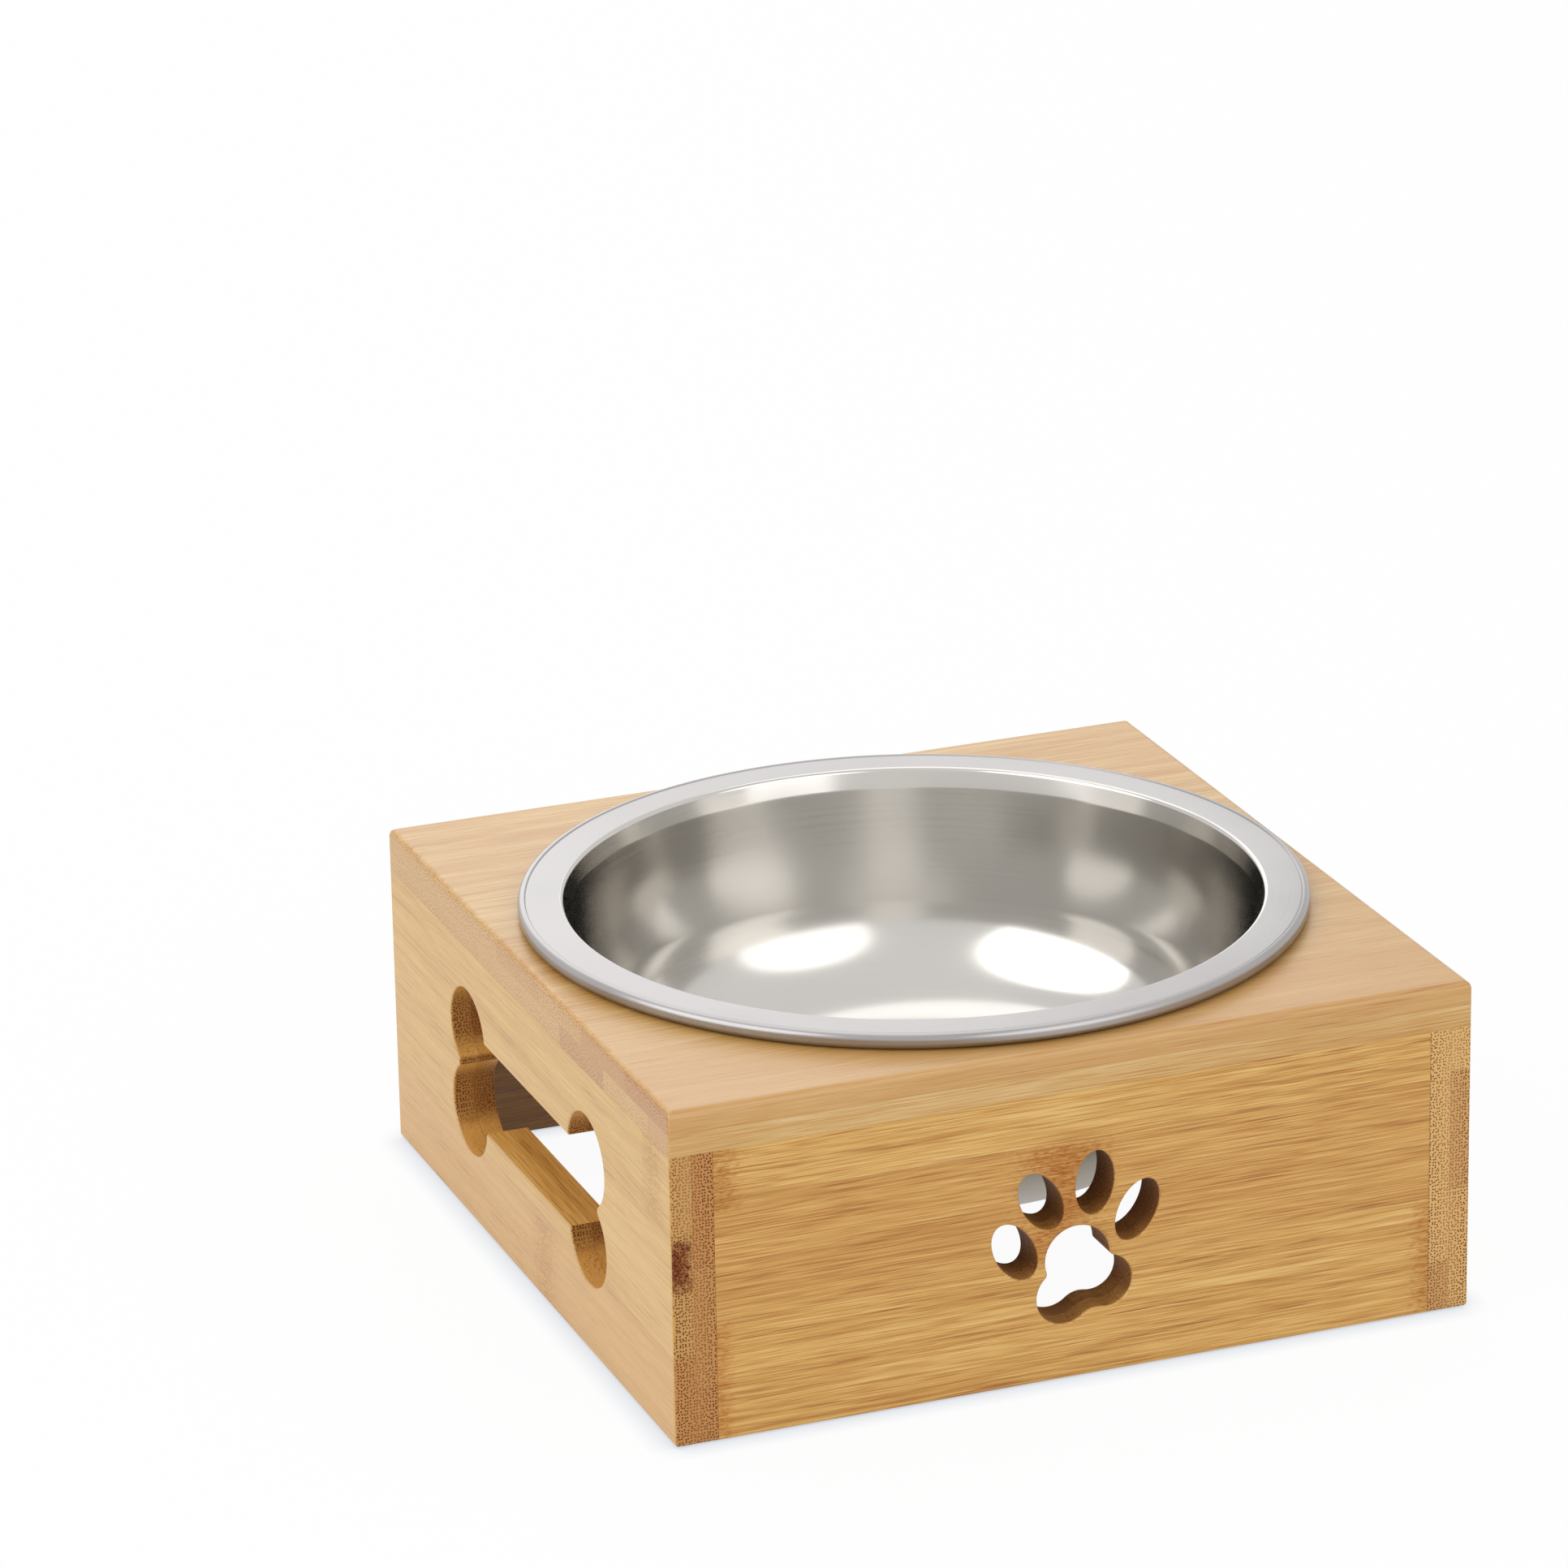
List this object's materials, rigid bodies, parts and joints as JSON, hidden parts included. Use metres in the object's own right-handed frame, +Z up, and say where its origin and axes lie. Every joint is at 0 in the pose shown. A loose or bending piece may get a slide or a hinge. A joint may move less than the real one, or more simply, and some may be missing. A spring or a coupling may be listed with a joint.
{
  "type": "dog bowl",
  "caption": "Round stainless-steel dog bowl with a flat flange and rolled rim, lifting out of a square bamboo stand with bone hand grips and a paw cut-out.",
  "frame": {"origin": "centre of the base, on the floor", "axes": "+X to the right, -Y to the front with the paw, +Z up"},
  "size_m": [0.2, 0.2, 0.087],
  "materials": {
    "bamboo": "satin lacquer",
    "dowel_wood": "raw",
    "foot_rubber": "matte",
    "bowl_steel": "brushed flange, polished inside"
  },
  "bodies": {
    "stand": {"top_panel": "bamboo", "front_panel": "bamboo", "back_panel": "bamboo", "left_panel": "bamboo", "right_panel": "bamboo", "front_left_dowels": "dowel_wood", "front_right_dowels": "dowel_wood", "back_left_dowels": "dowel_wood", "back_right_dowels": "dowel_wood", "front_top_dowels": "dowel_wood", "back_top_dowels": "dowel_wood", "left_top_dowels": "dowel_wood", "right_top_dowels": "dowel_wood", "front_left_foot": "foot_rubber", "front_right_foot": "foot_rubber", "back_left_foot": "foot_rubber", "back_right_foot": "foot_rubber"},
    "bowl": {"bowl": "bowl_steel"}
  },
  "joints": [
    {"name": "bowl_lift", "type": "slide", "parent": "stand", "child": "bowl", "axis": [0, 0, 1], "range_m": [0, 0.07]}
  ]
}
